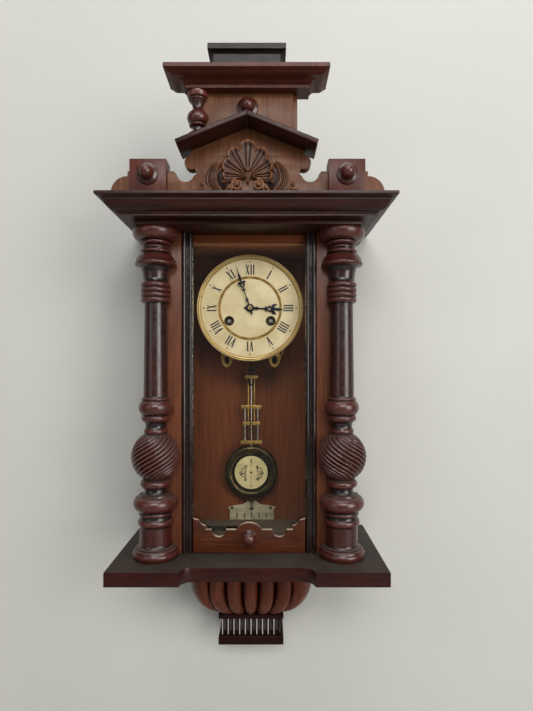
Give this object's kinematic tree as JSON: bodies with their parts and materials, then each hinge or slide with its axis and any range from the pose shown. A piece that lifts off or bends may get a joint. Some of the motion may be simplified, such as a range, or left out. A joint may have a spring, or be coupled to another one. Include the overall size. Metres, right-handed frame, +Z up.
{
  "type": "spring-driven wall clock",
  "caption": "Wall regulator clock: glazed case with turned columns and a gabled crest, hinged door, dial, movement and gridiron pendulum.",
  "frame": {"origin": "middle of the back board's rear face, on the wall plane", "axes": "+Z up, +X to the right of a person facing the clock, +Y into the wall"},
  "size_m": [0.384, 0.213, 0.847],
  "materials": {
    "dark_walnut": "stained and french polished",
    "brown_walnut": "oiled",
    "ebonised_wood": "ebonised, satin",
    "carved_walnut": "carved, waxed",
    "window_glass": "clear",
    "brass": "aged, lacquered",
    "blued_steel": "blued",
    "iron": "blackened",
    "dial_enamel": "aged cream"
  },
  "bodies": {
    "case": {"column_left": "dark_walnut", "column_right": "dark_walnut", "base_shelf": "dark_walnut", "corbel_bowl": "dark_walnut", "cornice": "dark_walnut", "crest_board": "dark_walnut", "crest_block_left": "dark_walnut", "crest_block_right": "dark_walnut", "gable_slat_left": "dark_walnut", "gable_slat_right": "dark_walnut", "tower_baluster": "dark_walnut", "tower_cornice": "dark_walnut", "back_board": "brown_walnut", "side_frame_left": "brown_walnut", "side_frame_right": "brown_walnut", "front_stile_left": "brown_walnut", "front_stile_right": "brown_walnut", "case_floor": "brown_walnut", "case_top": "brown_walnut", "tower_board": "brown_walnut", "crest_knob_left": "ebonised_wood", "crest_knob_right": "ebonised_wood", "tower_knob": "ebonised_wood", "tower_cap": "ebonised_wood", "corbel_drop": "ebonised_wood", "frieze": "ebonised_wood", "shell_carving": "carved_walnut", "side_glass_left": "window_glass", "side_glass_right": "window_glass", "front_plate": "brass", "back_plate": "brass", "dial_bezel": "brass", "movement_bracket_left": "brass", "movement_bracket_right": "brass", "pivot_pin_upper": "brass", "pivot_pin_lower": "brass", "gong_coil": "blued_steel", "hanger_plate": "iron", "dial_plate": "dial_enamel", "beat_scale": "dial_enamel"},
    "door": {"door_frame": "ebonised_wood", "door_glass": "window_glass", "door_apron": "brown_walnut", "door_knob": "ebonised_wood"},
    "minute_work": {"minute_hand": "blued_steel"},
    "centre_wheel": {"centre_wheel": "brass"},
    "hour_work": {"hour_hand": "blued_steel"},
    "minute_wheel": {"minute_wheel": "brass"},
    "third_wheel": {"third_wheel": "brass"},
    "escape_wheel": {"escape_wheel": "brass"},
    "time_barrel": {"time_barrel": "brass"},
    "strike_barrel": {"strike_barrel": "brass"},
    "time_arbor": {"time_arbor": "blued_steel"},
    "strike_arbor": {"strike_arbor": "blued_steel"},
    "pallet_anchor": {"pallet_anchor": "blued_steel"},
    "strike_hammer": {"strike_hammer": "blued_steel"},
    "pendulum": {"pendulum_frame": "brass"},
    "bob": {"pendulum_bob": "brass"},
    "rating_nut": {"rating_nut": "brass"},
    "winding_key": {"winding_key": "iron"}
  },
  "joints": [
    {"name": "door_swing", "type": "hinge", "parent": "case", "child": "door", "pos_m": [0.091, -0.127, 0], "axis": [0, 0, 1], "range_deg": [0, 90]},
    {"name": "minute_hand_turn", "type": "hinge", "parent": "case", "child": "minute_work", "pos_m": [0, -0.07, 0.1243], "axis": [0, 1, 0], "continuous": true},
    {"name": "hour_hand_turn", "type": "hinge", "parent": "case", "child": "hour_work", "pos_m": [0, -0.07, 0.1243], "axis": [0, 1, 0], "continuous": true},
    {"name": "minute_wheel_turn", "type": "hinge", "parent": "case", "child": "minute_wheel", "pos_m": [-0.0115, -0.07, 0.1358], "axis": [0, 1, 0], "continuous": true},
    {"name": "centre_wheel_turn", "type": "hinge", "parent": "case", "child": "centre_wheel", "pos_m": [0, -0.07, 0.1243], "axis": [0, 1, 0], "continuous": true},
    {"name": "third_wheel_turn", "type": "hinge", "parent": "case", "child": "third_wheel", "pos_m": [0.016, -0.07, 0.1479], "axis": [0, 1, 0], "continuous": true},
    {"name": "escape_wheel_turn", "type": "hinge", "parent": "case", "child": "escape_wheel", "pos_m": [0, -0.07, 0.1598], "axis": [0, 1, 0], "continuous": true},
    {"name": "time_barrel_turn", "type": "hinge", "parent": "case", "child": "time_barrel", "pos_m": [0.0307, -0.07, 0.1053], "axis": [0, 1, 0], "continuous": true},
    {"name": "strike_barrel_turn", "type": "hinge", "parent": "case", "child": "strike_barrel", "pos_m": [-0.0307, -0.07, 0.1053], "axis": [0, 1, 0], "continuous": true},
    {"name": "time_winding", "type": "hinge", "parent": "case", "child": "time_arbor", "pos_m": [0.0307, -0.07, 0.1053], "axis": [0, 1, 0], "continuous": true},
    {"name": "strike_winding", "type": "hinge", "parent": "case", "child": "strike_arbor", "pos_m": [-0.0307, -0.07, 0.1053], "axis": [0, 1, 0], "continuous": true},
    {"name": "pendulum_swing", "type": "hinge", "parent": "case", "child": "pendulum", "pos_m": [0, -0.04, 0.1768], "axis": [0, 1, 0], "range_deg": [-3.5, 3.5]},
    {"name": "anchor_rock", "type": "hinge", "parent": "case", "child": "pallet_anchor", "pos_m": [0, -0.04, 0.1768], "axis": [0, 1, 0], "range_deg": [-3.5, 3.5]},
    {"name": "hammer_lift", "type": "hinge", "parent": "case", "child": "strike_hammer", "pos_m": [-0.044, -0.04, 0.15], "axis": [0, 1, 0], "range_deg": [0, 20]},
    {"name": "bob_slide", "type": "slide", "parent": "pendulum", "child": "bob", "axis": [0, 0, 1], "range_m": [-0.002, 0.002]},
    {"name": "rating_nut_turn", "type": "hinge", "parent": "bob", "child": "rating_nut", "pos_m": [0, -0.04, -0.1757], "axis": [0, 0, 1], "range_deg": [-1441, 1441]},
    {"name": "key_lift", "type": "slide", "parent": "case", "child": "winding_key", "axis": [0, 0, 1], "range_m": [0, 0.02]}
  ],
  "couplings": [
    {"joint": "hour_hand_turn", "follows": "minute_hand_turn", "ratio": 0.083333},
    {"joint": "minute_wheel_turn", "follows": "minute_hand_turn", "ratio": -0.33333},
    {"joint": "third_wheel_turn", "follows": "escape_wheel_turn", "ratio": -0.22222},
    {"joint": "centre_wheel_turn", "follows": "escape_wheel_turn", "ratio": 0.037037},
    {"joint": "time_barrel_turn", "follows": "escape_wheel_turn", "ratio": -0.0061728},
    {"joint": "anchor_rock", "follows": "pendulum_swing", "ratio": 1},
    {"joint": "rating_nut_turn", "follows": "bob_slide", "rad_per_m": 12566}
  ]
}
